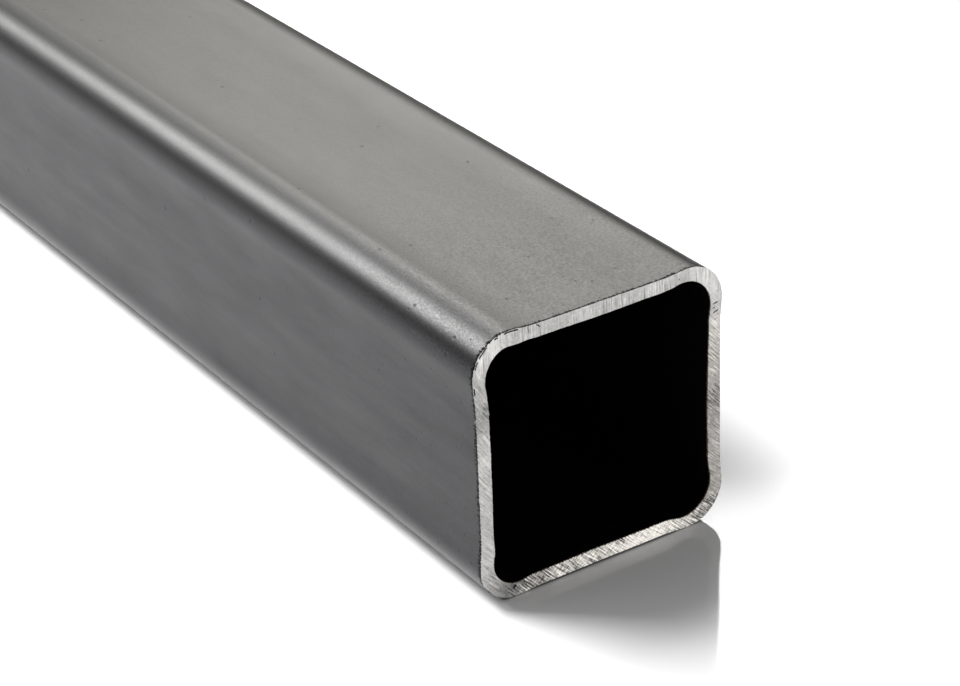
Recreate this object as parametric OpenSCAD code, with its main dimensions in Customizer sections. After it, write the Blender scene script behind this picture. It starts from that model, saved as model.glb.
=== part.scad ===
// Square hollow section: one cut length of cold-formed steel tube with sawn ends.
// The strip is rolled round, closed and then squared by sizing rolls. The rolls press the four
// sides a little hollow and leave the corners standing proud, inside and outside the wall.
// The tube lies along X on the floor at z = 0, with the origin under the middle of its length.

/* [Stock] */
// Length from one sawn end to the other
tube_length = 1000; // [200:10:6000]
// Outside width and height, measured over the corners
side = 60; // [50:1:100]
// Wall thickness on the flats
wall = 3; // [2.5:0.1:4]

/* [Corners] */
// Outside corner radius
outer_corner_r = 8.6; // [7:0.1:10]
// Inside corner radius
inner_corner_r = 6.9; // [5:0.1:8]

/* [Rolled sides] */
// Depth of the outside flats below the corners
outer_dish = 0.45; // [0.1:0.05:0.5]
// Depth of the inside flats below the corners
inner_dish = 0.6; // [0.2:0.05:0.8]
// Radius of the outside reverse bend between a flat and a corner
outer_ease_r = 66; // [20:1:100]
// Radius of the inside reverse bend between a flat and a corner
inner_ease_r = 20; // [10:1:40]

/* [Hidden] */
// Steps around a full circle
$fn = 360;
// Each bend's arc is let into the flat and the corner by this much, so that they cross cleanly
lap = 0.002;
// Half of the outside size, and half of the hollow over its corners
outer_half = side / 2;
inner_half = outer_half - outer_dish - wall + inner_dish;

// Distance along a side from the corner's centre back to the centre of the reverse bend
function ease_back(corner_r, dish, ease_r) =
    sqrt(pow(corner_r + ease_r - lap, 2) - pow(corner_r + ease_r - dish - lap, 2));

// Four flats and the straight chords that run under the bends and across the corners
module straight_outline(half, corner_r, dish, ease_r) {
    corner_at = half - corner_r;
    flat_at = half - dish;
    flat_end = corner_at - ease_back(corner_r, dish, ease_r);
    bend_end = corner_at - ease_back(corner_r, dish, ease_r) * corner_r / (corner_r + ease_r);
    bend_top = corner_at + (corner_r + ease_r - dish) * corner_r / (corner_r + ease_r);
    polygon([[flat_end, flat_at], [-flat_end, flat_at], [-bend_end, bend_top],
             [-bend_top, bend_end], [-flat_at, flat_end], [-flat_at, -flat_end],
             [-bend_top, -bend_end], [-bend_end, -bend_top], [-flat_end, -flat_at],
             [flat_end, -flat_at], [bend_end, -bend_top], [bend_top, -bend_end],
             [flat_at, -flat_end], [flat_at, flat_end], [bend_top, bend_end],
             [bend_end, bend_top]]);
}

// One outline of the tube: four flats, eight reverse bends and four round corners
module rolled_square(half, corner_r, dish, ease_r) {
    corner_at = half - corner_r;
    ease_at = corner_at - ease_back(corner_r, dish, ease_r);
    ease_up = half - dish + ease_r - lap;
    difference() {
        union() {
            straight_outline(half, corner_r, dish, ease_r);
            for (x = [-corner_at, corner_at]) for (y = [-corner_at, corner_at])
                translate([x, y]) circle(r = corner_r);
        }
        for (x = [-ease_at, ease_at]) for (y = [-ease_up, ease_up]) {
            translate([x, y]) circle(r = ease_r);
            translate([y, x]) circle(r = ease_r);
        }
    }
}

// The wall's section: the outside outline less the hollow
module tube_section() {
    difference() {
        rolled_square(outer_half, outer_corner_r, outer_dish, outer_ease_r);
        rolled_square(inner_half, inner_corner_r, inner_dish, inner_ease_r);
    }
}

// The cut length, laid along X on the floor
module square_tube() {
    color([0.36, 0.36, 0.37])
        translate([-tube_length / 2, 0, outer_half])
            rotate([90, 0, 90])
                linear_extrude(height = tube_length)
                    tube_section();
}

square_tube();
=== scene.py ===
# %% [markdown]
# A cut length of square steel tube, lying on a pale studio floor.
# The tube comes packed from CAD as one solid, in metres, with its length along X and the floor at
# z = 0. It is loaded first, because every size and place below is taken from it. Blender then adds
# what CAD leaves out: the mill finish, the saw's marks, the burr, the lamps and the camera.

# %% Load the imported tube
import math
import random

import bpy
import numpy as np
from mathutils import Matrix, Vector


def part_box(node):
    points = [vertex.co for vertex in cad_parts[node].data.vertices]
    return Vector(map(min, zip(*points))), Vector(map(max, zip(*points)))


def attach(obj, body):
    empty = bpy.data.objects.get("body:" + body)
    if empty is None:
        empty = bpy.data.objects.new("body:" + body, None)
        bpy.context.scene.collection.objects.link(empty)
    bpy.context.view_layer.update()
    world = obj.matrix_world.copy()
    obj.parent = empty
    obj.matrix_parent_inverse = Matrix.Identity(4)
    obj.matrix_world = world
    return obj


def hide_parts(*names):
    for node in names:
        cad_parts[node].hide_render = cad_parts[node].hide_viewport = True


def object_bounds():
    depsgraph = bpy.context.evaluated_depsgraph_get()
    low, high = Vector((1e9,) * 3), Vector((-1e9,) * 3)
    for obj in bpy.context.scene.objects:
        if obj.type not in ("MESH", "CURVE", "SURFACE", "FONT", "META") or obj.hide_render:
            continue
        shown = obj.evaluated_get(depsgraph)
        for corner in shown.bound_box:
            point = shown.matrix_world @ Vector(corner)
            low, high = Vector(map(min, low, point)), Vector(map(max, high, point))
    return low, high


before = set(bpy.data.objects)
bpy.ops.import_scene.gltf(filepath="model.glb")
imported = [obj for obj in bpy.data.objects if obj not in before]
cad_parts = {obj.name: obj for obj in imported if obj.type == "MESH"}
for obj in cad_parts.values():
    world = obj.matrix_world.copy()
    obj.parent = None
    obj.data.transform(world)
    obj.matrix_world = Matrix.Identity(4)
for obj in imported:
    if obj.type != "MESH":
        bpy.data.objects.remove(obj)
cad_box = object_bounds()
MM = 0.001
tube_lo, tube_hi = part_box("square_tube")
print("the packed tube is", [round(v / MM, 2) for v in tube_hi - tube_lo], "mm")

# %% [markdown]
# The photograph looks down along the tube from beyond its sawn end. The camera is a plain pinhole,
# worked out from the edges of the tube: where it stands, which way it faces and how long its lens
# is. It could be aimed by eye, but a measured camera makes every other comparison fair.

# %% Set up the camera
CAMERA_AT = Vector((0.89051, -0.27686, 0.30857))
CAMERA_AZIMUTH = math.radians(57.484)
CAMERA_ELEVATION = math.radians(28.268)
CAMERA_ROLL = math.radians(-2.444)
FOCAL_MM = 104.41
SENSOR_MM = 36.0
NEAREST_SEEN = 0.01


def camera_axes(azimuth, elevation, roll):
    """The camera's right, up and backward directions."""
    backward = Vector((math.sin(azimuth) * math.cos(elevation),
                       -math.cos(azimuth) * math.cos(elevation), math.sin(elevation)))
    level = Vector((math.cos(azimuth), math.sin(azimuth), 0.0))
    upright = backward.cross(level)
    right = math.cos(roll) * level + math.sin(roll) * upright
    up = -math.sin(roll) * level + math.cos(roll) * upright
    return right, up, backward


camera_data = bpy.data.cameras.new("studio_camera")
camera_data.lens = FOCAL_MM
camera_data.sensor_width = SENSOR_MM
camera_data.sensor_fit = "HORIZONTAL"
camera_data.clip_start = NEAREST_SEEN
camera = bpy.data.objects.new("studio_camera", camera_data)
turn = Matrix(camera_axes(CAMERA_AZIMUTH, CAMERA_ELEVATION, CAMERA_ROLL)).transposed()
camera.matrix_world = Matrix.Translation(CAMERA_AT) @ turn.to_4x4()
bpy.context.scene.collection.objects.link(camera)
bpy.context.scene.camera = camera
to_end = (CAMERA_AT - Vector((tube_hi.x, 0, tube_hi.z / 2))).length
print("the camera stands", round(to_end, 3), "m from the sawn end")

# %% [markdown]
# The floor is a plain white sheet with a satin gloss, so the sawn end throws a soft shadow and a
# faint mirror image in front of it. A shadow catcher would hide the sheet, but the steel is nearly
# a mirror and needs the real white surface to reflect. A big flat grid under the tube is enough.

# %% Lay the floor
FLOOR_SIZE = 8.0
FLOOR_WHITE = (0.86, 0.86, 0.86, 1.0)
FLOOR_IOR = 1.4
FLOOR_ROUGHNESS = 0.08


def new_material(name):
    """A material with an empty node tree but for its Principled shader and output."""
    material = bpy.data.materials.new(name)
    material.use_nodes = True
    shader = material.node_tree.nodes["Principled BSDF"]
    return material, material.node_tree, shader


floor_material, _, floor_shader = new_material("white_floor")
floor_shader.inputs["Base Color"].default_value = FLOOR_WHITE
floor_shader.inputs["Roughness"].default_value = FLOOR_ROUGHNESS
floor_shader.inputs["IOR"].default_value = FLOOR_IOR
half_floor = FLOOR_SIZE / 2
floor_mesh = bpy.data.meshes.new("floor")
floor_corners = [(-half_floor, -half_floor, 0), (half_floor, -half_floor, 0),
                 (half_floor, half_floor, 0), (-half_floor, half_floor, 0)]
floor_mesh.from_pydata(floor_corners, [], [(0, 1, 2, 3)])
floor_mesh.materials.append(floor_material)
floor = bpy.data.objects.new("floor", floor_mesh)
bpy.context.scene.collection.objects.link(floor)
print("the floor is", FLOOR_SIZE, "m square")

# %% [markdown]
# Rolled steel shows its lamps more than its own colour, so each lamp is given by the direction that
# it shines from and by how bright its face looks, which is how a reflection in metal is matched. It
# could be given in watts, but then a lamp would look duller each time that it was made bigger.
# One set of lamps could serve the whole picture, but each change for the steel would then change
# the floor as well. So there are two sets, and light linking says what each of them lights.

# %% Make helpers for the lamps
LAMP_DISTANCE = 2.4
LIT_SPOT = Vector((tube_hi.x - 0.05, 0.0, 0.03))
PURE_WHITE = (1.0, 1.0, 1.0)


def lit_face(name, wide, high, glow, tint=PURE_WHITE):
    """An area lamp of a size in metres whose face looks so bright. The camera can't see it."""
    lamp = bpy.data.lights.new(name, "AREA")
    lamp.shape = "RECTANGLE"
    lamp.size, lamp.size_y = wide, high
    lamp.energy = glow * math.pi * lamp.size * lamp.size_y
    lamp.color = tint
    face = bpy.data.objects.new(name, lamp)
    face.visible_camera = False
    bpy.context.scene.collection.objects.link(face)
    print(name, "is", round(lamp.size, 2), "by", round(lamp.size_y, 2), "m,", round(lamp.energy, 1), "W")
    return face


def soft_box(name, azimuth, elevation, wide, high, glow, tint=PURE_WHITE):
    """A lamp that faces the sawn end, its place and size as angles in degrees seen from there."""
    az, el = math.radians(azimuth), math.radians(elevation)
    outward = Vector((math.cos(az) * math.cos(el), math.sin(az) * math.cos(el), math.sin(el)))
    width, height = (2 * LAMP_DISTANCE * math.tan(math.radians(a) / 2) for a in (wide, high))
    box = lit_face(name, width, height, glow, tint)
    box.location = LIT_SPOT + outward * LAMP_DISTANCE
    box.rotation_euler = outward.to_track_quat("Z", "Y").to_euler()
    return box


def shine_on_floor(lamps, name, state):
    """Let lamps light only the floor (INCLUDE), or everything but the floor (EXCLUDE)."""
    lit = bpy.data.collections.new(name)
    lit.objects.link(floor)
    lit.collection_objects[0].light_linking.link_state = state
    for lamp in lamps:
        lamp.light_linking.receiver_collection = lit


print("the lamps stand", LAMP_DISTANCE, "m from the sawn end")

# %% [markdown]
# For the steel, a broad panel behind the tube fills the top, and a smaller one closes the gap beside
# it. Two boxes behind and to the left, one low and one high, draw the light line along the near
# corner, and a weak fill shows the left side. The sawn end has a low box in front, and a lit panel
# that lies on the floor before it. A real floor would light the end by itself, but this one gets its
# whiteness from lamps that leave the steel alone. Two of the whites are a little yellow, because
# the photograph's top and its light line are.

# %% Hang the lamps for the steel
WARM_WHITE = (1.0, 0.983, 0.88)
SOFT_WHITE = (0.99, 1.0, 0.94)
END_PANEL_SIDE = 0.5
END_PANEL_OFF_MIDDLE = 0.06
END_PANEL_GAP = 0.1 * MM
END_PANEL_GLOW = 0.85
steel_lamps = [soft_box("back_panel", 133, 34, 46, 26, 3.72, WARM_WHITE),
               soft_box("gap_fill", 164, 41, 18, 20, 3.7, SOFT_WHITE),
               soft_box("left_box", 209, 32, 26, 19, 11.8, SOFT_WHITE),
               soft_box("high_lamp", 213, 60, 30, 24, 13.0, SOFT_WHITE),
               soft_box("side_fill", 268, 30, 50, 34, 1.35),
               soft_box("front_box", 32, 13, 44, 18, 6.0)]
end_panel = lit_face("end_panel", END_PANEL_SIDE, END_PANEL_SIDE, END_PANEL_GLOW)
end_panel.location = (tube_hi.x + END_PANEL_SIDE / 2 + END_PANEL_GAP, END_PANEL_OFF_MIDDLE, END_PANEL_GAP)
end_panel.rotation_euler = (math.pi, 0.0, 0.0)
steel_lamps.append(end_panel)
shine_on_floor(steel_lamps, "all_but_the_floor", "EXCLUDE")
print(len(steel_lamps), "lamps light the steel")

# %% [markdown]
# For the floor, a key lamp high behind the tube whitens it and lays the shadow in front of the end.
# A low lamp, also from behind, whitens the floor right up to the tube's left side, because its own
# shadow falls farther out. It is kept out of mirror rays, or its image in the glossy floor would
# light that side. A weak fill from the left lightens the shadow. A sheen panel and a weaker haze
# panel under it shine only off the floor's gloss, so the shadow stays grey just where the end is
# mirrored, and half grey beside the tube. A painted shadow would be simpler, and wrong from every
# other side.

# %% Hang the lamps for the floor
floor_key = soft_box("floor_key", 214, 55.5, 20, 15, 39.0)
floor_low = soft_box("floor_low", 208, 30, 24, 10, 17.0)
floor_fill = soft_box("floor_fill", 262, 51, 40, 24, 2.1)
floor_sheen = soft_box("floor_sheen", 147, 42, 60, 22, 14.0)
floor_haze = soft_box("floor_haze", 147, 20.5, 60, 21, 3.2)
floor_low.visible_glossy = False
floor_sheen.visible_diffuse = floor_haze.visible_diffuse = False
floor_lamps = [floor_key, floor_low, floor_fill, floor_sheen, floor_haze]
shine_on_floor(floor_lamps, "only_the_floor", "INCLUDE")
print(len(floor_lamps), "lamps light the floor")

# %% [markdown]
# The room itself glows a little from all around, as a white studio does, so that no shadow is quite
# black. A picture of a real room would light it as well, but the steel would show that room. The
# Standard view turns light into colours one to one, which keeps the white floor white.

# %% Light the room
ROOM_GLOW = 0.2
world = bpy.data.worlds.new("studio_room")
world.use_nodes = True
world.node_tree.nodes["Background"].inputs["Color"].default_value = (*PURE_WHITE, 1.0)
world.node_tree.nodes["Background"].inputs["Strength"].default_value = ROOM_GLOW
bpy.context.scene.world = world
bpy.context.scene.view_settings.view_transform = "Standard"
print("the room glows", ROOM_GLOW, "times as brightly as a white sheet")

# %% [markdown]
# The far edge of the top is dark in the photograph, because a dark card stood low behind the tube.
# Photographers call it a flag. It is a plain sheet that only mirror rays can see, so it darkens
# that edge, throws no shadow and never shows itself. The edge could be painted darker instead, but
# then it would stay dark from every side.

# %% Stand the flag behind the tube
FLAG_FROM, FLAG_TO = (-0.9, 0.36), (0.5, 0.36)
FLAG_HEIGHT = 0.13
FLAG_BLACK = (0.005, 0.005, 0.005, 1.0)
flag_mesh = bpy.data.meshes.new("flag")
flag_corners = [(*FLAG_FROM, 0), (*FLAG_TO, 0), (*FLAG_TO, FLAG_HEIGHT), (*FLAG_FROM, FLAG_HEIGHT)]
flag_mesh.from_pydata(flag_corners, [], [(0, 1, 2, 3)])
flag_material, _, flag_shader = new_material("black_card")
flag_shader.inputs["Base Color"].default_value = FLAG_BLACK
flag_shader.inputs["Roughness"].default_value = 1.0
flag_shader.inputs["Specular IOR Level"].default_value = 0.0
flag_mesh.materials.append(flag_material)
flag = bpy.data.objects.new("flag", flag_mesh)
flag.visible_camera = flag.visible_diffuse = flag.visible_shadow = False
bpy.context.scene.collection.objects.link(flag)
print("the flag is", FLAG_HEIGHT, "m high")

# %% [markdown]
# The section is the one that the sizing rolls leave: four flats sunk a little below four round
# corners, with a slow reverse bend between them, outside and inside the wall. It could be read off
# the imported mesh, but drawing it again from the same few sizes gives as many points as the burr
# needs, at even steps, with the outside and inside points in pairs.

# %% Draw the section
HALF_SIDE = (tube_hi.y - tube_lo.y) / 2
MID_HEIGHT = (tube_hi.z + tube_lo.z) / 2
WALL = 3.0 * MM
OUTER_DISH = 0.45 * MM
INNER_DISH = 0.6 * MM
OUTER_CORNER = 8.6 * MM
INNER_CORNER = 6.9 * MM
OUTER_EASE = 66.0 * MM
INNER_EASE = 20.0 * MM
INNER_HALF = HALF_SIDE - OUTER_DISH - WALL + INNER_DISH
STEPS_FLAT, STEPS_EASE, STEPS_CORNER = 144, 42, 90


def side_outline(half, corner, dish, ease):
    """Points and outward normals along one side, from its flat's start round the next corner."""
    centre = half - corner
    reach = math.sqrt((corner + ease) ** 2 - (corner + ease - dish) ** 2)
    turn = math.asin(reach / (corner + ease))
    flat_end = centre - reach
    points, normals = [], []

    def add(u, v, angle):
        points.append((u, v))
        normals.append((math.sin(angle), math.cos(angle)))

    for i in range(STEPS_FLAT):
        add(-flat_end + 2 * flat_end * i / STEPS_FLAT, half - dish, 0.0)
    for i in range(STEPS_EASE):
        a = turn * i / STEPS_EASE
        add(flat_end + ease * math.sin(a), half - dish + ease * (1 - math.cos(a)), -a)
    for i in range(STEPS_CORNER):
        a = -turn + (math.pi / 2 + 2 * turn) * i / STEPS_CORNER
        add(centre + corner * math.sin(a), centre + corner * math.cos(a), a)
    for i in range(STEPS_EASE):
        a = turn * (1 - i / STEPS_EASE)
        add(half - dish + ease * (1 - math.cos(a)), flat_end + ease * math.sin(a), math.pi / 2 + a)
    return np.array(points), np.array(normals)


def whole_outline(half, corner, dish, ease):
    """The closed outline, clockwise as seen from the sawn end: top, right, bottom and left side."""
    points, normals = side_outline(half, corner, dish, ease)
    quarter = np.array([[0.0, 1.0], [-1.0, 0.0]])
    rings, facing = [], []
    for _ in range(4):
        rings.append(points)
        facing.append(normals)
        points = points @ quarter.T
        normals = normals @ quarter.T
    return np.vstack(rings), np.vstack(facing)


outer_line, outer_facing = whole_outline(HALF_SIDE, OUTER_CORNER, OUTER_DISH, OUTER_EASE)
inner_line, inner_facing = whole_outline(INNER_HALF, INNER_CORNER, INNER_DISH, INNER_EASE)
AROUND = len(outer_line)
arc_at = np.concatenate([[0.0], np.cumsum(np.linalg.norm(
    np.roll(outer_line, -1, axis=0) - outer_line, axis=1))])
ROUND_LENGTH = arc_at[-1]
arc_at = arc_at[:-1]
print("the outline has", AROUND, "points,", round(ROUND_LENGTH / AROUND / MM, 3), "mm apart")
print("once round the outside is", round(ROUND_LENGTH / MM, 1), "mm")

# %% [markdown]
# No tube comes off the rolls quite even. On the inside, where nothing guides the wall, one shoulder
# has almost vanished, another stands out more, and the flats are sunk a little more in the middle.
# A random wobble would do, but these few are seen at once on the cut end, so each is put in place:
# where it is on the end in millimetres, how far it moves into the hollow, and how far it reaches.

# %% Let the inside be a little uneven
UNEVEN = [(-21.8, 60.0, 0.6, 2.7), (0.0, 56.5, 0.14, 7.0), (26.6, 44.0, -0.18, 5.0),
          (26.5, 26.0, 0.2, 7.0), (20.5, 2.9, -0.2, 3.0), (-3.0, 3.5, 0.18, 8.0),
          (-20.5, 2.9, 0.34, 3.5), (-27.1, 9.5, 0.36, 3.5), (-26.5, 19.0, -0.12, 5.0),
          (-26.5, 41.0, -0.08, 5.0), (-30.0, 46.5, -0.12, 2.5)]


def near_place(y, z):
    """Distance along the outline from the outline point nearest to a place on the end, in mm."""
    nearest = np.argmin(np.hypot(outer_line[:, 0] - y * MM, outer_line[:, 1] + MID_HEIGHT - z * MM))
    away = np.abs(arc_at - arc_at[nearest])
    return np.minimum(away, ROUND_LENGTH - away) / MM


def bell(distance, reach):
    """1 at no distance, sinking smoothly to about a third at the reach and to nothing beyond."""
    return np.exp(-(distance / reach) ** 2)


for y, z, inward, reach in UNEVEN:
    bulge = inward * MM * bell(near_place(y, z), reach)
    inner_line = inner_line - bulge[:, None] * inner_facing
print("the hollow is", round((inner_line[:, 0].max() - inner_line[:, 0].min()) / MM, 2), "mm wide")

# %% [markdown]
# A saw leaves three things on a cut end: marks across the wall, an edge that is a little ragged,
# and here and there a burr that the teeth pushed over the outside. They are true shape, so they
# are made in the mesh. Random numbers would scatter them well, but they come out the same each
# time only if the generator is seeded, so every pattern below has a seed of its own.

# %% Measure along the cut and make random wear
def wear_around(grain, seed):
    """Smooth random values around the outline, from -1 to 1, that change over so many millimetres."""
    knots = max(4, round(ROUND_LENGTH / (grain * MM)))
    values = np.random.default_rng(seed).uniform(-1, 1, knots)
    place = arc_at / ROUND_LENGTH * knots
    low = np.floor(place).astype(int)
    share = place - low
    share = share * share * (3 - 2 * share)
    return values[low % knots] * (1 - share) + values[(low + 1) % knots] * share


def stretch(start, end, fade):
    """1 along the outline between two places on the end, clockwise, fading to 0 beyond them."""
    first = arc_at[np.argmin(near_place(*start))]
    last = arc_at[np.argmin(near_place(*end))]
    inside = (arc_at - first) % ROUND_LENGTH
    length = (last - first) % ROUND_LENGTH
    beyond = np.where(inside <= length, 0.0, np.minimum(inside - length, ROUND_LENGTH - inside))
    return np.clip(1 - beyond / (fade * MM), 0, 1)


def between(value, start, end):
    """A value turned from 0 at start to 1 at end."""
    return np.clip((value - start) / (end - start), 0, 1)


def teeth(zone, height, widths, seed):
    """How far torn teeth of metal push each outline point inside a zone, by a height in mm."""
    dice = random.Random(seed)
    narrow, wide = widths
    pushed = np.zeros(AROUND)
    place = 0.0
    while place < ROUND_LENGTH:
        half = dice.uniform(narrow, wide) * MM / 2
        tall = height * MM * dice.uniform(0.3, 1.0)
        tooth = np.clip(1 - np.abs(arc_at - place) / half, 0, 1)
        pushed = np.maximum(pushed, tall * np.sqrt(tooth))
        place += half + dice.uniform(narrow, wide) * MM
    return pushed * zone


print("one side of the outline is", round(ROUND_LENGTH / 4 / MM, 1), "mm long")

# %% [markdown]
# The blade came down through the top and pushed its burr to the left. Along the left edge it is a
# row of fine teeth. Round the top left corner it is a thin lip, torn through in places, with a
# groove behind it. Lower down a single spur stands out. Teeth also hang into the hollow: coarse
# ones along the bottom wall and finer ones along the left wall. A modeller could pull each tooth
# out by hand, but seeded teeth of random width and height are as ragged and come out alike.

# %% Raise the burr
LEFT_EDGE = ((-30, 5), (-30, 47))
TORN_LIP = ((-30, 49), (-20, 60))
LOW_WALL = ((29, 3), (-22, 0))
LEFT_WALL = ((-29, 8), (-29, 46))
EDGE_TEETH, TORN_TEETH, LOW_TEETH, LEFT_TEETH = 0.26, 0.35, 0.3, 0.14
TOOTH_WIDTHS, FINE_WIDTHS = (0.3, 0.7), (0.2, 0.6)
SPUR_AT = (-30, 42.8)
SPUR = 0.5
LIP = 0.2
GROOVE = 0.13
WORN, WORN_SLOWLY = 0.03, 0.02


def cut_edges(seed):
    """The ragged outside and inside edges of one sawn end, as distances pushed out of the metal."""
    lip = stretch(*TORN_LIP, 2.5)
    torn_through = wear_around(1.3, seed + 3) > -0.1
    tears = teeth(lip, TORN_TEETH, TOOTH_WIDTHS, seed + 2) * torn_through
    outside = MM * WORN * (wear_around(0.4, seed) + wear_around(1.6, seed + 1))
    outside += teeth(stretch(*LEFT_EDGE, 4), EDGE_TEETH, TOOTH_WIDTHS, seed + 4)
    outside += MM * LIP * lip * (0.7 + 0.3 * wear_around(0.6, seed + 5)) - tears
    outside += MM * SPUR * np.clip(1 - near_place(*SPUR_AT) / SPUR, 0, 1)
    inside = MM * (WORN * wear_around(0.5, seed + 6) + WORN_SLOWLY * wear_around(2.5, seed + 7))
    inside += teeth(stretch(*LOW_WALL, 6), LOW_TEETH, TOOTH_WIDTHS, seed + 8)
    inside += teeth(stretch(*LEFT_WALL, 3), LEFT_TEETH, FINE_WIDTHS, seed + 12)
    return outside, inside, MM * GROOVE * lip * between(wear_around(0.8, seed + 9), -0.4, 0.2)


print("the left edge has teeth on", int(stretch(*LEFT_EDGE, 4).sum()), "outline points")
print("the lip stands up to", LIP, "mm off the corner")

# %% [markdown]
# Each saw mark is the path of one tooth on a round blade, so the marks are short pieces of arcs.
# On the top wall they stand upright, on the other walls they fall to the right, and on the bottom
# wall, where the blade trembled as it broke through, they are deepest and a second set crosses
# them, which shows faintly on the right wall too. Ripples in the distance from the blade's centre
# would give endless arcs, so random values are laid out along and across the arcs instead. Each set
# of marks has the blade's centre, and how far apart and how long the marks are. A few single gouges,
# and a hair crack at the top edge, are put in one by one: where each is on the end, how long it is,
# its slope, its depth and its width. All but the slope are in millimetres, and all the marks go down
# into the end, so none stands past its length.

# %% Cut the saw marks
SKIM = 0.05
RANDOM_TABLE = 1024
UPRIGHT_CENTRE, FALLING_CENTRE, CROSSING_CENTRE = (420.0, 66.0), (225.0, 227.0), (-220.0, 190.0)
UPRIGHT_MARKS, FALLING_MARKS, CROSSING_MARKS = (0.75, 8), (0.52, 5), (0.7, 2)
UPRIGHT_DEEP = 0.014
FALLING_DEEP, DEEPER_AT_RIGHT, DEEPER_BELOW = 0.013, 0.014, 0.022
CROSSING_BELOW, CROSSING_AT_RIGHT = 0.012, 0.006
GOUGES = [(28.5, 50.1, 2.4, 0.10, 0.11, 0.18), (27.9, 49.1, 1.5, 0.30, 0.09, 0.15),
          (28.5, 48.2, 2.4, 0.34, 0.11, 0.17), (28.9, 47.3, 1.5, 0.40, 0.09, 0.15),
          (28.2, 46.4, 1.6, 0.30, 0.09, 0.15), (19.3, 58.2, 2.4, -6.0, 0.09, 0.12),
          (20.1, 58.2, 2.4, -6.0, 0.05, 0.15), (9.0, 58.2, 2.4, 9.0, 0.08, 0.12),
          (-14.5, 58.9, 2.1, -0.8, 0.12, 0.14), (-22.1, 2.4, 1.2, 0.9, 0.14, 0.3)]


def cloudy(u, v, seed):
    """Smooth random values from -1 to 1 over two measures, that change once a unit."""
    table = np.random.default_rng(seed).uniform(-1, 1, (RANDOM_TABLE, RANDOM_TABLE))
    i, j = np.floor(u).astype(int), np.floor(v).astype(int)
    a, b = u - i, v - j
    a, b = a * a * (3 - 2 * a), b * b * (3 - 2 * b)
    i, j, after_i, after_j = (k % RANDOM_TABLE for k in (i, j, i + 1, j + 1))
    first = table[i, j] * (1 - a) + table[after_i, j] * a
    second = table[i, after_j] * (1 - a) + table[after_i, after_j] * a
    return first * (1 - b) + second * b


def saw_streaks(y, z, centre, pitch, length, seed):
    """Marks from -1 to 1 in arcs around the blade's centre, so far apart and so long."""
    away = np.hypot(y - centre[0], z - centre[1])
    swept = (math.pi + np.arctan2(z - centre[1], y - centre[0])) * np.hypot(*centre)
    broad = cloudy(away / pitch, swept / length, seed)
    narrow = cloudy(2.1 * away / pitch, 1.6 * swept / length, seed + 1)
    return 0.65 * broad + 0.35 * narrow


def sawn_relief(y, z, seed):
    """How deep the saw's own marks and the single gouges are at each place, all in millimetres."""
    top, bottom = between(z, 50, 55), between(z, 10, 5) * between(y, -25, -18)
    right = between(y, 20, 26) * between(z, 52, 46)
    upright = saw_streaks(y, z, UPRIGHT_CENTRE, *UPRIGHT_MARKS, seed)
    falling = saw_streaks(y, z, FALLING_CENTRE, *FALLING_MARKS, seed + 10)
    crossing = saw_streaks(y, z, CROSSING_CENTRE, *CROSSING_MARKS, seed + 20)
    falling_deep = FALLING_DEEP + DEEPER_AT_RIGHT * right + DEEPER_BELOW * bottom
    depth = SKIM + UPRIGHT_DEEP * top * upright
    depth += (1 - 0.85 * top) * falling_deep * falling
    depth += (CROSSING_BELOW * bottom + CROSSING_AT_RIGHT * right) * crossing
    dug = np.zeros(len(y))
    for at_y, at_z, length, tilt, deep, wide in GOUGES:
        along = ((y - at_y) + tilt * (z - at_z)) / math.hypot(1, tilt)
        across = ((z - at_z) - tilt * (y - at_y)) / math.hypot(1, tilt)
        dug += deep * bell(across, wide) * np.sqrt(np.clip(1 - np.abs(2 * along / length), 0, 1))
    return np.maximum(depth, 0), dug


print("the deepest gouge goes", max(g[4] for g in GOUGES), "mm into the end")

# %% [markdown]
# The tube is one closed skin: outside, over the sawn wall, back through the hollow, and over the
# far wall. Bending a flat strip round would also do it, but rings of points that follow the section
# let the rings crowd together at the ends, where the edge is rounded by a tenth of a millimetre and
# torn, and spread out along the middle, where nothing changes for half a metre. The distances here
# are in millimetres, from the cut or from the outside of the wall. Teeth push the points near the
# edge with them, and the push dies out along the tube and across the wall.

# %% Space the rings
EDGE_ROUND = 0.09
EDGE_LEAN = 0.3 * EDGE_ROUND
COARSE = 3
NEAR_END = [1.6, 0.8, 0.45, 0.26, 0.15]
FINE_WALL = [0.18] + [0.3 + 0.149 * k for k in range(17)] + [2.82]
PLAIN_WALL = [0.18, 0.32, 0.6, 1.0, 1.4, 1.8, 2.2, 2.5, 2.7, 2.83]
ALONG = [3.2, 6.5, 13, 26, 50, 90, 150, 240, 360]
PUSH_ALONG, PUSH_ACROSS = 0.16, 0.25
GROOVE_IN, GROOVE_WIDE = 0.34, 0.14
SAWN_SEED, FAR_SEED = 11, 57


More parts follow.
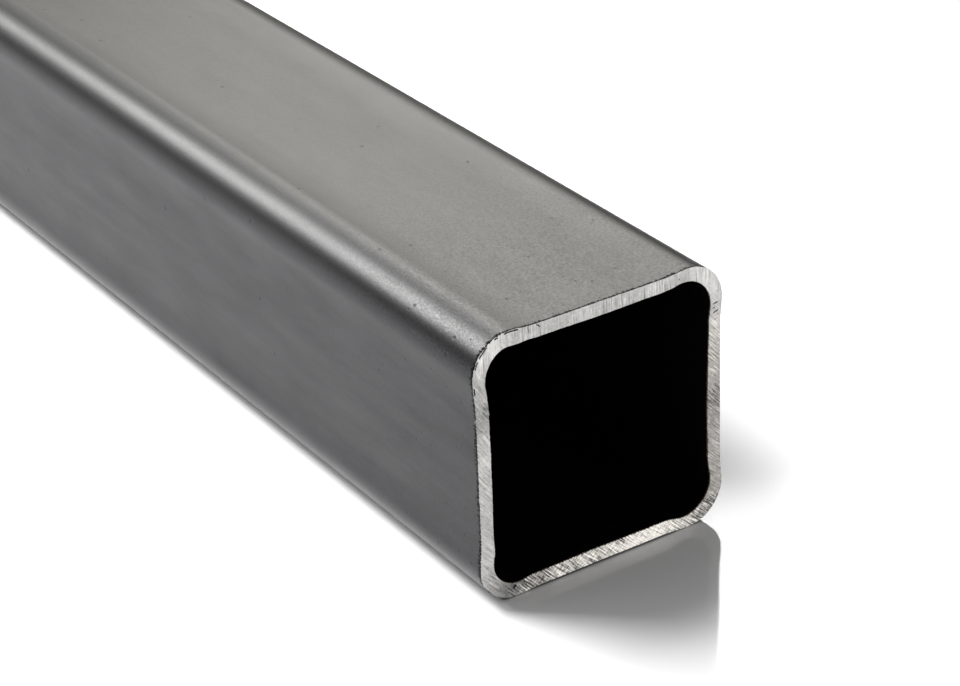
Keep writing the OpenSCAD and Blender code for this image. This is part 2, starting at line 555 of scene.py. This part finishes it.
def end_rings(facing, across, seed):
    """The fine rings of one sawn end, from outside over its edge into the hollow, and how deep each point
    is dug.
    """
    outside, inside, groove = cut_edges(seed)
    end_x = tube_hi.x if facing > 0 else tube_lo.x
    inward = inner_line - outer_line
    wall = np.linalg.norm(inward, axis=1)
    rings, dug_depth = [], []

    def ring(line, back, push, normals, dug=0.0):
        flat = line + push[:, None] * normals
        rings.append(np.c_[np.full(AROUND, end_x) - facing * back, flat[:, 0], flat[:, 1] + MID_HEIGHT])
        dug_depth.append(np.zeros(AROUND) + dug)

    def edge(line, push, normals, into_wall):
        lean = EDGE_LEAN * MM
        leaning = line + inward * (into_wall * lean / wall)[:, None]
        turned = [(line, EDGE_ROUND * MM, push * 0.9), (leaning, lean, push)]
        for at, back, moved in turned if into_wall > 0 else reversed(turned):
            ring(at, back, moved, normals)

    def side(line, push, normals, order):
        for back in order:
            ring(line, back * MM, push * bell(back - 0.1, PUSH_ALONG), normals)

    side(outer_line, outside, outer_facing, NEAR_END)
    edge(outer_line, outside, outer_facing, 1)
    for inset in [EDGE_ROUND] + across + [WALL / MM - EDGE_ROUND]:
        push = outside * bell(inset, PUSH_ACROSS) - inside * bell(WALL / MM - inset, PUSH_ACROSS)
        line = outer_line + inward * inset * MM / WALL
        depth, dug = sawn_relief(line[:, 0] / MM, (line[:, 1] + MID_HEIGHT) / MM, seed + 20)
        dug = MM * dug + groove * bell(inset - GROOVE_IN, GROOVE_WIDE)
        ring(line, MM * depth + dug, push, outer_facing, dug)
    edge(inner_line, -inside, inner_facing, -1)
    side(inner_line, -inside, inner_facing, reversed(NEAR_END))
    return rings, dug_depth


def long_rings(line):
    """The rings along one surface between its ends, with one point for every few of the outline's."""
    from_end = [b * MM for b in ALONG]
    places = [tube_hi.x - b for b in from_end] + [tube_lo.x + b for b in reversed(from_end)]
    few = line[::COARSE]
    return [np.c_[np.full(len(few), x), few[:, 0], few[:, 1] + MID_HEIGHT] for x in places]


sawn, sawn_dug_depth = end_rings(1, FINE_WALL, SAWN_SEED)
far, far_dug_depth = end_rings(-1, PLAIN_WALL, FAR_SEED)
print("the ends have", len(sawn), "and", len(far), "rings, and each long surface", 2 * len(ALONG))

# %% [markdown]
# Now each ring is joined to the next by a strip of faces, and the last ring to the first, which
# closes the skin. Where a fine ring meets a coarse one, each coarse step is joined to three fine
# ones by a fan of faces. Blender can bridge loops of edges too, but then the faces' order isn't
# known, and here each strip has to say which finish it takes: rolled, sawn or hollow. Where the
# gouges and the groove behind the lip are deeper than a twentieth of a millimetre, their faces
# take the dark rolled finish as painted shade in the deep marks.

# %% Stitch the rings into one skin
ROLLED, SAWN, HOLLOW = 0, 1, 2
# Sawn faces dug deeper than this are painted dark: painted shade in the deep marks.
PAINTED_SHADE_DEPTH = 0.055


def stitch(rings):
    """Faces between each ring and the next, the last one joined to the first, with a zone each."""
    points = np.vstack([r for r, _ in rings])
    starts = np.cumsum([0] + [len(r) for r, _ in rings])
    faces, zones = [], []
    for k, (ring, zone) in enumerate(rings):
        following, _ = rings[(k + 1) % len(rings)]
        a0, b0 = starts[k], starts[(k + 1) % len(rings)]
        na, nb = len(ring), len(following)
        if na == nb:
            for i in range(na):
                j = (i + 1) % na
                faces.append((a0 + i, b0 + i, b0 + j, a0 + j))
                zones.append(zone)
            continue
        few, many = (a0, b0) if na < nb else (b0, a0)
        count = min(na, nb)
        for i in range(count):
            j = (i + 1) % count
            fine = [many + (COARSE * i + s) % (count * COARSE) for s in range(COARSE + 1)]
            fan = [(few + i, few + j, fine[2]), (few + j, fine[3], fine[2]),
                   (few + i, fine[2], fine[1]), (few + i, fine[1], fine[0])]
            if na < nb:
                fan = [tuple(reversed(f)) for f in fan]
            faces.extend(fan)
            zones.extend([zone] * len(fan))
    return points, faces, zones


def zone_of(k, count):
    """What the strip after one of an end's rings is: rolled side, sawn wall or hollow."""
    if k <= len(NEAR_END):
        return ROLLED
    return SAWN if k <= count - len(NEAR_END) else HOLLOW


print("a fine ring has", COARSE, "points for each one of a coarse ring")

# %% [markdown]
# The strips follow one another over the sawn end, along the hollow, over the far end and back along
# the outside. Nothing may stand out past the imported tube, so the points are kept inside its box. A
# mesh could also be welded from four separate surfaces, but then its seams would have to be found.

# %% Close the skin
all_rings = [(r, zone_of(k, len(sawn))) for k, r in enumerate(sawn)]
all_rings += [(r, HOLLOW) for r in long_rings(inner_line)]
all_rings += [(r, zone_of(len(far) - 2 - k, len(far))) for k, r in enumerate(reversed(far))]
all_rings += [(r, ROLLED) for r in reversed(long_rings(outer_line))]
skin_points, skin_faces, skin_zones = stitch(all_rings)
clean_points = [np.zeros(len(r)) for r, _ in all_rings]
skin_dug_depth = np.concatenate(sawn_dug_depth + clean_points[len(sawn):len(sawn) + 2 * len(ALONG)]
                           + far_dug_depth[::-1] + clean_points[-2 * len(ALONG):])
# Deep gouge and groove faces take the dark rolled finish as painted shade.
for k, corners in enumerate(skin_faces):
    if skin_zones[k] == SAWN and skin_dug_depth[list(corners)].mean() > PAINTED_SHADE_DEPTH * MM:
        skin_zones[k] = ROLLED
box_lo, box_hi = np.array(cad_box[0]), np.array(cad_box[1])
skin_points = np.clip(skin_points, box_lo, box_hi)
tube_mesh = bpy.data.meshes.new("steel_tube")
tube_mesh.from_pydata(skin_points.tolist(), [], skin_faces)
tube_mesh.polygons.foreach_set("material_index", skin_zones)
tube_mesh.polygons.foreach_set("use_smooth", [True] * len(skin_faces))
tube_mesh.update()
tube = bpy.data.objects.new("steel_tube", tube_mesh)
bpy.context.scene.collection.objects.link(tube)
triangles = sum(len(f) - 2 for f in skin_faces)
print("the tube's skin has", len(skin_points), "points and", triangles, "triangles")

# %% [markdown]
# The finishes are node trees. Writing out every node and link by hand hides what they do, so a few
# small helpers place a node with its values and do sums. Effects that several finishes share are
# node groups with named inputs. All of them measure in millimetres along the tube's own axes, so a
# scratch that is half a millimetre wide is written as 0.5.

# %% Make helpers for the finishes
def put(tree, kind, values=None, **settings):
    """Add a node. A value may be a number, a colour or another node's output, which is linked."""
    node = tree.nodes.new(kind)
    place = len(tree.nodes)
    node.location = (220 * (place % 8), -260 * (place // 8))
    for name, setting in settings.items():
        setattr(node, name, setting)
    for name, value in (values or {}).items():
        if isinstance(value, bpy.types.NodeSocket):
            tree.links.new(value, node.inputs[name])
        else:
            node.inputs[name].default_value = value
    return node


def maths(tree, operation, first, second=0.0, third=0.0):
    """One sum of a node tree, as an output."""
    return put(tree, "ShaderNodeMath", {0: first, 1: second, 2: third}, operation=operation).outputs[0]


def fade(tree, value, start, end, low=0.0, high=1.0):
    """A value turned smoothly from low at start to high at end, as an output."""
    values = {"Value": value, "From Min": start, "From Max": end, "To Min": low, "To Max": high}
    return put(tree, "ShaderNodeMapRange", values, interpolation_type="SMOOTHSTEP").outputs["Result"]


def swing(tree, value, strength):
    """How far a value from 0 to 1 is off its middle, times a strength, as an output."""
    return maths(tree, "MULTIPLY", maths(tree, "SUBTRACT", value, 0.5), strength)


def stretched(tree, place, along, across, up):
    """A place with its three axes scaled by their own amounts, as an output."""
    values = {0: place, 1: (along, across, up)}
    return put(tree, "ShaderNodeVectorMath", values, operation="MULTIPLY").outputs["Vector"]


def noise(tree, place, scale, detail=2.0, roughness=0.5):
    """Cloudy noise from 0 to 1, as an output."""
    values = {"Vector": place, "Scale": scale, "Detail": detail, "Roughness": roughness}
    return put(tree, "ShaderNodeTexNoise", values).outputs["Fac"]


def blend_colours(tree, share, first, second):
    """A colour between two others, each a colour or a node's output, as an output."""
    return put(tree, "ShaderNodeMix", {0: share, 6: first, 7: second}, data_type="RGBA").outputs[2]


def new_group(name, inputs, outputs):
    """An empty node group with named inputs, each with a value to start from, and named outputs."""
    group = bpy.data.node_groups.new(name, "ShaderNodeTree")
    for socket, start in inputs.items():
        kind = "NodeSocketVector" if isinstance(start, tuple) else "NodeSocketFloat"
        made = group.interface.new_socket(name=socket, in_out="INPUT", socket_type=kind)
        made.default_value = start
    for socket in outputs:
        group.interface.new_socket(name=socket, in_out="OUTPUT", socket_type="NodeSocketFloat")
    return group, put(group, "NodeGroupInput").outputs, put(group, "NodeGroupOutput").inputs


def use_group(tree, group, values):
    """Place a group in a material with its own values, and give its outputs."""
    return put(tree, "ShaderNodeGroup", values, node_tree=group).outputs


def give_relief(tree, shader, height):
    """Let a height in millimetres bend the light on a shader, as a bump."""
    bump = put(tree, "ShaderNodeBump", {"Height": height, "Strength": 1.0, "Distance": MM})
    tree.links.new(bump.outputs["Normal"], shader.inputs["Normal"])


def place_in_mm(tree):
    """Places on the piece in millimetres along the tube's own axes, as an output."""
    spot = put(tree, "ShaderNodeTexCoord").outputs["Object"]
    return stretched(tree, spot, 1 / MM, 1 / MM, 1 / MM)


print("helpers for the finishes are ready")

# %% [markdown]
# Rolls polish the strip and drag its scale along with them. What is left is a close matt grain,
# long faint streaks where the rolls turned, and broad soft clouds. Grain could be a bump alone, but
# the real scale also changes a little in tone, so one group gives both a tone and a height. Each
# of the three is noise, stretched by how often it changes in a millimetre along, across and up.

# %% Group: rolling grain
GRAIN_STRETCH = (0.8, 1.0, 1.0)
STREAK_STRETCH = (0.012, 0.35, 0.35)
CLOUD_STRETCH = (0.05, 0.16, 0.16)
rolling_grain, given, result = new_group(
    "rolling_grain", {"Place": (0.0, 0.0, 0.0), "Grain size": 0.4, "Grain": 0.4, "Streak": 0.5,
                      "Cloud": 0.5}, ["Tone", "Height"])
g = rolling_grain
finer = maths(g, "DIVIDE", 0.9, given["Grain size"])
grain = noise(g, stretched(g, given["Place"], *GRAIN_STRETCH), finer, 2.0, 0.6)
streak = noise(g, stretched(g, given["Place"], *STREAK_STRETCH), 1.0, 4.0, 0.6)
cloud = noise(g, stretched(g, given["Place"], *CLOUD_STRETCH), 1.0, 3.0, 0.6)
broad = maths(g, "ADD", swing(g, streak, given["Streak"]), swing(g, cloud, given["Cloud"]))
toned = maths(g, "ADD", broad, swing(g, grain, given["Grain"]))
g.links.new(maths(g, "ADD", toned, 0.5), result["Tone"])
g.links.new(maths(g, "MULTIPLY", grain, given["Grain size"]), result["Height"])
print("rolling grain has", len(g.nodes), "nodes")

# %% [markdown]
# Loose scale and grit leave small pits. They lie far apart along the tube and close together near
# the cut, where the saw's vice and the chips marked the side. A few painted dots would repeat, so
# the pits come from random cells: each cell may hold one, and about half of them hold none. A
# wobble of the place bends each pit out of round.

# %% Group: pits
WOBBLE = (0.35, 0.35, 0.35)
pits, given, result = new_group(
    "pits", {"Place": (0.0, 0.0, 0.0), "Spacing": 4.0, "Size": 0.5, "Share": 0.3}, ["Mask"])
g = pits
wobble = put(g, "ShaderNodeTexNoise", {"Vector": given["Place"], "Scale": 1.7, "Detail": 1.0})
values = {0: wobble.outputs["Color"], 1: WOBBLE, 2: given["Place"]}
bent = put(g, "ShaderNodeVectorMath", values, operation="MULTIPLY_ADD").outputs["Vector"]
cells = put(g, "ShaderNodeTexVoronoi",
            {"Vector": bent, "Scale": maths(g, "DIVIDE", 1.0, given["Spacing"])})
reach = maths(g, "DIVIDE", given["Size"], given["Spacing"])
inside = maths(g, "SUBTRACT", 1.0, maths(g, "DIVIDE", cells.outputs["Distance"], reach))
pick = put(g, "ShaderNodeSeparateColor", {0: cells.outputs["Color"]}).outputs[0]
chosen = maths(g, "LESS_THAN", pick, given["Share"])
shape = fade(g, inside, 0.0, 0.7)
g.links.new(maths(g, "MULTIPLY", shape, chosen), result["Mask"])


def pitted_by(tree, place, spacing, size, share):
    """Where a finish has pits so far apart and so wide, in this share of the cells, as an output."""
    values = {"Place": place, "Spacing": spacing, "Size": size, "Share": share}
    return use_group(tree, pits, values)["Mask"]


print("pits have", len(g.nodes), "nodes")

# %% [markdown]
# Several finishes change towards the cut: the grain roughens, about the last millimetre is painted
# dark as the shadow that the torn edge's burr throws, and dirt sits beside it. A mask painted on
# the mesh would do for one of them, but each has another reach. So one group measures how near a
# place is to the nearer end, and can make its own limit ragged.

# %% Group: near the cut
RAGGED_SWING = 4.0
LEAST_REACH = 0.05
near_cut, given, result = new_group(
    "near_cut", {"Place": (0.0, 0.0, 0.0), "Reach": 60.0, "Ragged": 0.0}, ["Mask"])
g = near_cut
along = put(g, "ShaderNodeSeparateXYZ", {0: given["Place"]}).outputs["X"]
to_cut = maths(g, "SUBTRACT", tube_hi.x / MM, maths(g, "ABSOLUTE", along))
torn = noise(g, stretched(g, given["Place"], 0.3, 1.0, 1.0), 2.2, 2.0, 0.7)
uneven = maths(g, "MULTIPLY_ADD", swing(g, torn, RAGGED_SWING), given["Ragged"], 1.0)
reach = maths(g, "MULTIPLY", given["Reach"], maths(g, "MAXIMUM", uneven, LEAST_REACH))
gone = fade(g, maths(g, "DIVIDE", to_cut, reach), 0.0, 1.0)
g.links.new(maths(g, "SUBTRACT", 1.0, gone), result["Mask"])


def near(tree, place, reach, ragged=0.0):
    """How near a finish is to the cut, from 1 there to 0 at the reach, as an output."""
    return use_group(tree, near_cut, {"Place": place, "Reach": reach, "Ragged": ragged})["Mask"]


print("near the cut has", len(g.nodes), "nodes")

# %% [markdown]
# The finest saw marks are scratches a few tenths of a millimetre apart, too fine for the mesh. They
# follow the same arcs as the cut ones. Straight streaks would do for one wall, but the marks turn
# as they go round the tube, so the group measures distance and angle from the blade's centre.

# %% Group: saw scratches
saw_scratches, given, result = new_group(
    "saw_scratches", {"Place": (0.0, 0.0, 0.0), "Centre": (0.0, 0.0, 0.0), "Pitch": 0.3, "Length": 6.0},
    ["Height"])
g = saw_scratches
from_centre = put(g, "ShaderNodeVectorMath", {0: given["Place"], 1: given["Centre"]},
                  operation="SUBTRACT").outputs["Vector"]
parts = put(g, "ShaderNodeSeparateXYZ", {0: from_centre}).outputs
radius = maths(g, "SQRT", maths(g, "ADD", maths(g, "POWER", parts["Y"], 2.0),
                               maths(g, "POWER", parts["Z"], 2.0)))
swept = maths(g, "MULTIPLY", maths(g, "ARCTAN2", parts["Z"], parts["Y"]), radius)
rolled_out = put(g, "ShaderNodeCombineXYZ", {"X": maths(g, "DIVIDE", radius, given["Pitch"]),
                                           "Y": maths(g, "DIVIDE", swept, given["Length"])})
g.links.new(noise(g, rolled_out.outputs["Vector"], 1.0, 3.0, 0.65), result["Height"])


def scratched(tree, place, centre, pitch, length):
    """Fine scratches round the blade's centre, so far apart and so long, as an output."""
    values = {"Place": place, "Centre": (0.0, *centre), "Pitch": pitch, "Length": length}
    return use_group(tree, saw_scratches, values)["Height"]


print("saw scratches have", len(g.nodes), "nodes")

# %% [markdown]
# The long sides keep the mill's own skin: dark grey iron oxide, rolled smooth, so it is a metal
# with a low, wide gloss. A grey paint would look right from one side only, because this skin takes
# nearly all of its light from reflections. The skin is slightly blue, and the lamps do the rest:
# the photograph's top is a little warm and its side a little cool. The nodes add a grain that grows
# towards the cut and is stronger on the top and bottom than on the sides. Streaks and clouds show
# more on the sides. There are small pits near the cut and big ones everywhere, each kind with its
# spacing, its size and the share of cells that hold one. The painted shadow of the torn edge's burr
# is widest on the left.

# %% Finish: rolled sides
ROLLED_DARK = (0.0415, 0.041, 0.044, 1.0)
ROLLED_LIGHT = (0.110, 0.1085, 0.114, 1.0)
# Nearly black: the painted shadow of the burr along the cut edge, and the colour of dirt specks and pits.
SHADE_AND_DIRT_DARK = (0.006, 0.006, 0.006, 1.0)
CLOSE_REACH, VERY_CLOSE_REACH, DIRT_REACH = 85.0, 30.0, 3.4
# How far back from the cut the burr's painted shadow reaches, in mm, farther on the left.
EDGE_SHADE_REACH, EDGE_SHADE_REACH_LEFT = 0.7, 1.1
rolled, tree, shader = new_material("rolled_steel")
spot = place_in_mm(tree)
axes = put(tree, "ShaderNodeSeparateXYZ", {0: spot}).outputs
off_middle = maths(tree, "ABSOLUTE", maths(tree, "SUBTRACT", axes["Z"], MID_HEIGHT / MM))
on_top = fade(tree, off_middle, 17.0, 28.0)
close = near(tree, spot, CLOSE_REACH)
very_close = near(tree, spot, VERY_CLOSE_REACH)
coarser = maths(tree, "MULTIPLY_ADD", close, 0.85, 0.45)
grain = use_group(tree, rolling_grain, {
    "Place": spot, "Grain size": 0.42, "Streak": fade(tree, on_top, 0.0, 1.0, 0.3, 0.1),
    "Grain": maths(tree, "MULTIPLY", coarser, fade(tree, on_top, 0.0, 1.0, 0.28, 1.0)),
    "Cloud": fade(tree, on_top, 0.0, 1.0, 0.6, 0.22)})
small_pits = pitted_by(tree, spot, 2.4, 0.42, 0.45)
big_pits = pitted_by(tree, spot, 7.0, 0.62, 0.5)
specks = pitted_by(tree, spot, 0.9, 0.28, 0.45)
beside_cut = near(tree, spot, DIRT_REACH, 0.5)
# The painted shadow reaches farther back on the left, beside the burr's teeth.
edge_shade_reach = fade(tree, axes["Y"], -24.0, -29.0, EDGE_SHADE_REACH, EDGE_SHADE_REACH_LEFT)
edge = near(tree, spot, edge_shade_reach, 1.0)
print("the torn edge reaches up to", EDGE_SHADE_REACH_LEFT, "mm back from the cut")

# %% [markdown]
# Colour comes from two steels, a dark and a lighter one, and the grain's tone says how much of each
# is seen. Handling has darkened the skin a little near the cut. Over that lie the pits, which are
# only partly dark, the specks of dirt, and a nearly black painted shadow along the torn edge, where
# the burr shades the side. A painted picture could hold all this, but it would be sharp from one
# distance only.

# %% Colour the rolled sides
PIT_DARKNESS = 0.34
HANDLING = 0.15
pitted = maths(tree, "MAXIMUM", maths(tree, "MULTIPLY", small_pits, close), big_pits)
handled = maths(tree, "MULTIPLY_ADD", close, -HANDLING, grain["Tone"])
skin = blend_colours(tree, handled, ROLLED_DARK, ROLLED_LIGHT)
# Painted shadow of the burr along the cut edge, together with dirt specks beside it.
torn = maths(tree, "MAXIMUM", fade(tree, edge, 0.04, 0.35), maths(tree, "MULTIPLY", specks, beside_cut))
darker = maths(tree, "MAXIMUM", maths(tree, "MULTIPLY", pitted, PIT_DARKNESS), torn)
tree.links.new(blend_colours(tree, darker, skin, SHADE_AND_DIRT_DARK), shader.inputs["Base Color"])
shader.inputs["Metallic"].default_value = 1.0
print("the rolled sides are coloured with", len(tree.nodes), "nodes")

# %% [markdown]
# The gloss is wide and nearly even: light spots are a little smoother, and dirt is rougher. The
# relief is the grain's own height, a few thousandths of a millimetre that grow towards the cut, and
# the pits go down from it. It is much too fine for the mesh, so it is a bump.

# %% Give the rolled sides their gloss and relief
ROLLED_MATT, SMOOTHER_WHERE_LIGHT, SMOOTHER_CLOSE, ROUGHER_WHERE_DARK = 0.375, 0.12, 0.035, 0.25
GRAIN_DEEP, DEEPER_CLOSE, DEEPER_VERY_CLOSE, PIT_DEEP = 0.006, 0.010, 0.02, 0.035
lightness = maths(tree, "SUBTRACT", grain["Tone"], 0.5)
matt = maths(tree, "MULTIPLY_ADD", lightness, -SMOOTHER_WHERE_LIGHT, ROLLED_MATT)
matt = maths(tree, "MULTIPLY_ADD", close, -SMOOTHER_CLOSE, matt)
matt = maths(tree, "MULTIPLY_ADD", darker, ROUGHER_WHERE_DARK, matt)
tree.links.new(matt, shader.inputs["Roughness"])
grain_deep = maths(tree, "MULTIPLY_ADD", close, DEEPER_CLOSE, GRAIN_DEEP)
grain_deep = maths(tree, "MULTIPLY_ADD", very_close, DEEPER_VERY_CLOSE, grain_deep)
grain_height = maths(tree, "MULTIPLY", grain["Height"], grain_deep)
give_relief(tree, shader, maths(tree, "MULTIPLY_ADD", pitted, -PIT_DEEP, grain_height))
print("rolled steel has", len(tree.nodes), "nodes")

# %% [markdown]
# The saw lays the clean metal bare. It is much lighter than the skin, and it scatters light across
# the scratches. Fine scratches lie along the cut marks, so they use the same centres of the blade.
# They could all be one noise, but each wall was cut at its own angle: upright on the top wall,
# falling elsewhere, and crossed by a second set where the teeth trembled, most of all below.

# %% Finish: sawn wall
sawn_steel, tree, shader = new_material("sawn_steel")
spot = place_in_mm(tree)
axes = put(tree, "ShaderNodeSeparateXYZ", {0: spot}).outputs
on_top = fade(tree, axes["Z"], 50.0, 55.0)
on_bottom = maths(tree, "MULTIPLY", fade(tree, axes["Z"], 9.0, 4.0), fade(tree, axes["Y"], -25.0, -17.0))
on_right = maths(tree, "MULTIPLY", fade(tree, axes["Y"], 20.0, 26.0), fade(tree, axes["Z"], 50.0, 44.0))
falling = scratched(tree, spot, FALLING_CENTRE, 0.31, 5.0)
upright = scratched(tree, spot, UPRIGHT_CENTRE, 0.42, 8.0)
crossing = scratched(tree, spot, CROSSING_CENTRE, 0.45, 2.0)
main = put(tree, "ShaderNodeMix", {0: on_top, 2: falling, 3: upright}).outputs[0]
coarse = maths(tree, "MAXIMUM", on_bottom, maths(tree, "MULTIPLY", on_right, 0.3))
crossed = swing(tree, crossing, maths(tree, "MULTIPLY", coarse, 0.5))
scratch = maths(tree, "ADD", maths(tree, "SUBTRACT", main, 0.5), crossed)
print("the scratches turn round", len({FALLING_CENTRE, UPRIGHT_CENTRE, CROSSING_CENTRE}), "centres")

# %% [markdown]
# Scratches are seen because their flanks catch more and less light than the flat metal, and that
# light and shade is painted into the colour as well as bent by the bump. They come out in patches,
# clear where a tooth bit and faint where it only rubbed, so noise as broad as the wall turns their
# contrast up and down. The contrast is strongest on the coarse bottom wall. The deepest scratches
# get a painted shade, darker still, and a fine grain lies over everything.

# %% Let the scratches come and go
PATCHES_A_MM = 0.35
FAINTEST, LESS_FAINT_BELOW, CLEAREST = 0.35, 0.5, 1.65
CONTRAST, MORE_WHERE_COARSE = 0.72, 1.8
DEEP_SCRATCH_SHADE = 0.12
patches = noise(tree, stretched(tree, spot, 0.0, PATCHES_A_MM, PATCHES_A_MM), 1.0, 2.0, 0.55)
faintest = maths(tree, "MULTIPLY_ADD", on_bottom, LESS_FAINT_BELOW, FAINTEST)
patchy = fade(tree, patches, 0.36, 0.64, faintest, CLEAREST)
wall_contrast = maths(tree, "MULTIPLY_ADD", coarse, MORE_WHERE_COARSE, CONTRAST)
contrast = maths(tree, "MULTIPLY", wall_contrast, patchy)
grain = use_group(tree, rolling_grain, {"Place": spot, "Grain size": 0.35, "Streak": 0.0,
                                        "Cloud": 0.36, "Grain": 0.3})
# Painted light and shade of the scratches' flanks, plus the grain's own tone.
scratch_shading_and_grain = maths(tree, "MULTIPLY_ADD", scratch, contrast, maths(tree, "SUBTRACT", grain["Tone"], 0.5))
# Painted shade in the deepest scratches.
scratch_shading_and_grain = maths(tree, "ADD", scratch_shading_and_grain, fade(tree, main, 0.36, 0.29, 0.0, -DEEP_SCRATCH_SHADE))
print("a patch is about", round(1 / PATCHES_A_MM, 1), "mm wide")

# %% [markdown]
# How bright a wall looks depends on how the teeth left it and on how the light falls on it, and
# both are painted into the colour here. The bottom wall, where they broke through, is coarse and
# painted bright, and the right wall is painted dull. A ramp from top to bottom couldn't say that,
# so each lighter or duller stretch is a soft spot of painted light or shade: its place on the end
# and its reach in millimetres, and how much lighter or darker it is. The bottom and right walls
# are a little straw.

# %% Colour the sawn wall
BARE_DARK = (0.06, 0.059, 0.058, 1.0)
BARE_LIGHT = (0.90, 0.888, 0.865, 1.0)
STRAW = (1.0, 0.975, 0.94, 1.0)
BARE_TONE = 0.29
# Each spot paints light or shade into the bare colour, for how the light falls on that part of the wall.
PAINTED_LIGHT_SPOTS = [(13.0, 2.0, 12.0, 0.45), (3.0, 2.0, 12.0, 0.32), (-7.0, 2.0, 9.0, 0.14),
               (-23.5, 1.5, 6.5, -0.17), (28.0, 3.0, 7.0, -0.06), (28.0, 26.0, 14.0, -0.14),
               (28.0, 40.0, 5.0, -0.03), (-28.0, 16.0, 14.0, 0.08), (-28.0, 35.0, 7.0, 0.09),
               (-28.0, 44.0, 8.0, -0.11), (26.0, 56.0, 8.0, 0.11), (-27.0, 56.5, 7.0, 0.17),
               (28.0, 45.5, 3.5, 0.09), (20.5, 2.0, 4.5, 0.14), (-9.5, 2.0, 4.0, 0.12)]
on_end = stretched(tree, spot, 0.0, 1.0, 1.0)
tone = BARE_TONE
for y, z, reach, lighter in PAINTED_LIGHT_SPOTS:
    values = {0: on_end, 1: (0.0, y, z)}
    away = put(tree, "ShaderNodeVectorMath", values, operation="DISTANCE").outputs["Value"]
    tone = maths(tree, "ADD", fade(tree, away, reach, 0.0, 0.0, lighter), tone)
bare = blend_colours(tree, maths(tree, "ADD", tone, scratch_shading_and_grain), BARE_DARK, BARE_LIGHT)
tinted = {0: maths(tree, "MAXIMUM", on_bottom, on_right), 6: bare, 7: STRAW}
straw = put(tree, "ShaderNodeMix", tinted, data_type="RGBA", blend_type="MULTIPLY").outputs[2]
tree.links.new(straw, shader.inputs["Base Color"])
shader.inputs["Metallic"].default_value = 1.0
# These stretches are painted light and shade, and partly the walls' own cut finish.
print("the saw left", len(PAINTED_LIGHT_SPOTS), "lighter and duller stretches")

# %% [markdown]
# The bare metal is duller where the teeth left it coarse, and its scratches are deeper there. The
# cut marks in the mesh are wider than these scratches, so both are needed.

# %% Give the sawn wall its gloss and relief
BARE_MATT, MATTER_WHERE_COARSE = 0.42, 0.12
SCRATCH_DEEP, DEEPER_WHERE_COARSE = 0.016, 0.03
bare_matt = maths(tree, "MULTIPLY_ADD", coarse, MATTER_WHERE_COARSE, BARE_MATT)
tree.links.new(bare_matt, shader.inputs["Roughness"])
deep = maths(tree, "MULTIPLY_ADD", coarse, DEEPER_WHERE_COARSE, SCRATCH_DEEP)
give_relief(tree, shader, maths(tree, "MULTIPLY", scratch, deep))
print("sawn steel has", len(tree.nodes), "nodes")

# %% [markdown]
# Inside, the scale was never touched by the rolls. Little light gets in, and its near-black colour
# is painted shade for that, laid over the scale's own dark colour. The photograph shows the hollow
# as plain black, but for a thin brown rim at the cut. One plain black would do for that view, but
# from the side the scale should still show its grain.

# %% Finish: the hollow
# Near black: painted shade of the hollow, over the scale's own dark grey.
HOLLOW_SHADE_DARK = (0.0005, 0.0005, 0.0005, 1.0)
HOLLOW_SHADE_LIGHT = (0.0015, 0.0015, 0.0016, 1.0)
BROWN_RIM = (0.30, 0.19, 0.12, 1.0)
RIM_REACH = 0.6
HOLLOW_MATT, HOLLOW_SHINE, HOLLOW_DEEP = 0.85, 0.02, 0.02
hollow, tree, shader = new_material("hollow_scale")
spot = place_in_mm(tree)
grain = use_group(tree, rolling_grain, {"Place": spot, "Grain size": 0.6, "Streak": 0.8})
rim = near(tree, spot, RIM_REACH, 0.5)
hollow_shade = blend_colours(tree, grain["Tone"], HOLLOW_SHADE_DARK, HOLLOW_SHADE_LIGHT)
tree.links.new(blend_colours(tree, rim, hollow_shade, BROWN_RIM), shader.inputs["Base Color"])
shader.inputs["Roughness"].default_value = HOLLOW_MATT
shader.inputs["Specular IOR Level"].default_value = HOLLOW_SHINE
give_relief(tree, shader, maths(tree, "MULTIPLY", grain["Height"], HOLLOW_DEEP))
print("hollow scale has", len(tree.nodes), "nodes")

# %% [markdown]
# The piece takes its three finishes, stands in for the imported tube and rides on its body.

# %% Dress the tube and finish
for finish in (rolled, sawn_steel, hollow):
    tube_mesh.materials.append(finish)
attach(tube, "root")
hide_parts("square_tube")
